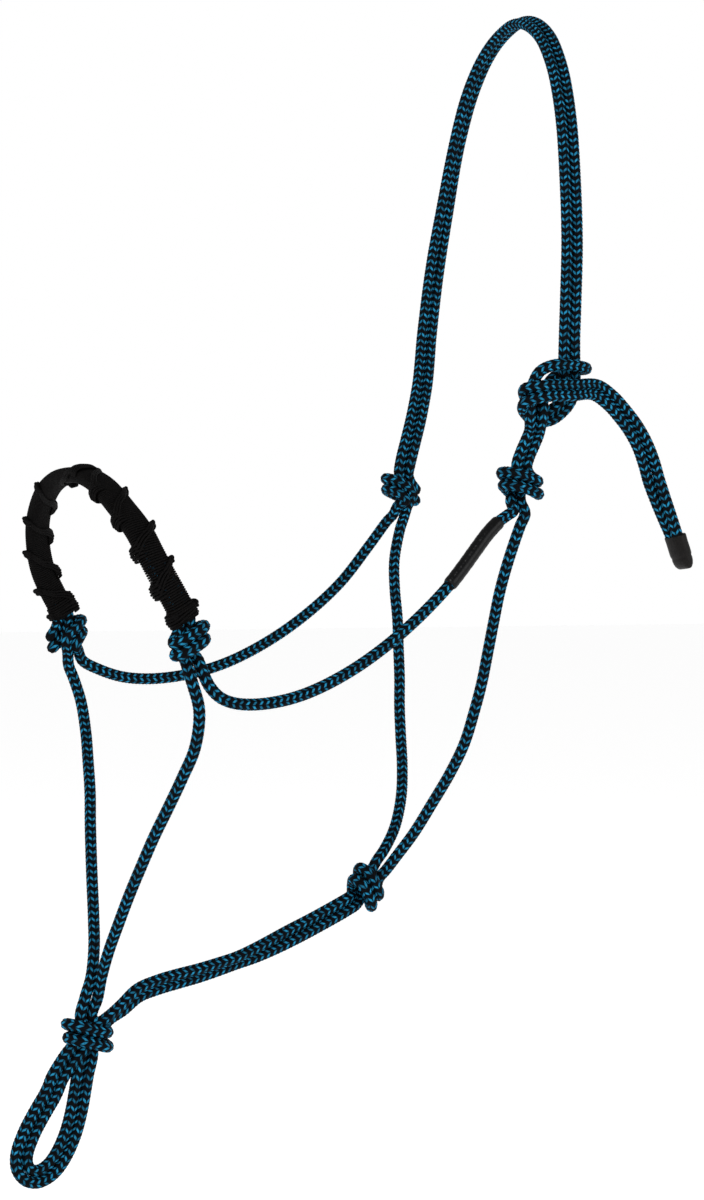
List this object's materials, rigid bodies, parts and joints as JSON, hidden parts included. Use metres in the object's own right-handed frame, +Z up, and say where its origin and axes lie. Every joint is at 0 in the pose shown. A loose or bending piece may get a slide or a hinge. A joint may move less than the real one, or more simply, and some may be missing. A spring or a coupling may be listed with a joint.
{
  "type": "head halter",
  "caption": "Knotted rope head halter for a horse, with a whipped noseband, a lead loop and a tied crown with a free tail.",
  "frame": {"origin": "poll seat: underside of the crown at its top, on the middle plane", "axes": "+Z up, -X toward the nose, -Y toward the near (left) side"},
  "size_m": [0.3685, 0.1907, 0.6473],
  "materials": {
    "rope": "16-carrier braided polyester rope, alternating teal-blue and black strands",
    "whipping": "thin matte black cord, wound tight",
    "shrink": "satin black heat-shrink tube",
    "cap": "crimped dark rubbery end cap"
  },
  "bodies": {
    "crown": {"crown_rope_front": "rope", "crown_rope_rear": "rope", "riser_rope_front": "rope", "riser_rope_rear": "rope", "tie_knot": "rope", "tail_rope_front": "rope", "tail_rope_rear": "rope", "tail_cap": "cap"},
    "cheeks": {"cheek_knot_near": "rope", "cheek_knot_far": "rope", "cheek_rope_near": "rope", "cheek_rope_far": "rope", "sleeve": "shrink", "side_knot_near": "rope", "side_knot_far": "rope"},
    "noseband": {"nose_rope_front": "rope", "nose_rope_rear": "rope", "nose_whipping": "whipping"},
    "throat": {"throat_rope_near": "rope", "throat_rope_far": "rope", "throat_knot": "rope"},
    "chin": {"chin_rope_near": "rope", "chin_rope_far": "rope", "chin_knot": "rope"},
    "jaw": {"jaw_rope_upper": "rope", "jaw_rope_lower": "rope"},
    "lead_loop": {"lead_loop_outer": "rope", "lead_loop_inner": "rope"}
  },
  "joints": [
    {"name": "crown_fold", "type": "hinge", "parent": "crown", "child": "cheeks", "pos_m": [-0.0415, 0, -0.2635], "axis": [0, 1, 0], "range_deg": [-45, 55]},
    {"name": "nose_swing", "type": "hinge", "parent": "cheeks", "child": "noseband", "pos_m": [-0.2485, 0, -0.347], "axis": [0, 1, 0], "range_deg": [-60, 50]},
    {"name": "throat_swing", "type": "hinge", "parent": "cheeks", "child": "throat", "pos_m": [-0.0388, 0, -0.279], "axis": [0, 1, 0], "range_deg": [-10, 12]},
    {"name": "chin_swing", "type": "hinge", "parent": "cheeks", "child": "chin", "pos_m": [-0.248, 0, -0.3638], "axis": [0, 1, 0], "range_deg": [-11, 13]},
    {"name": "jaw_swing", "type": "hinge", "parent": "throat", "child": "jaw", "pos_m": [-0.102, 0, -0.4895], "axis": [0, 1, 0], "range_deg": [-17, 14]},
    {"name": "lead_loop_swing", "type": "hinge", "parent": "chin", "child": "lead_loop", "pos_m": [-0.2705, 0, -0.559], "axis": [0, 1, 0], "range_deg": [-40, 4]}
  ],
  "couplings": [
    {"joint": "chin_swing", "follows": "throat_swing", "ratio": 1.009},
    {"joint": "jaw_swing", "follows": "throat_swing", "ratio": -1.347}
  ]
}
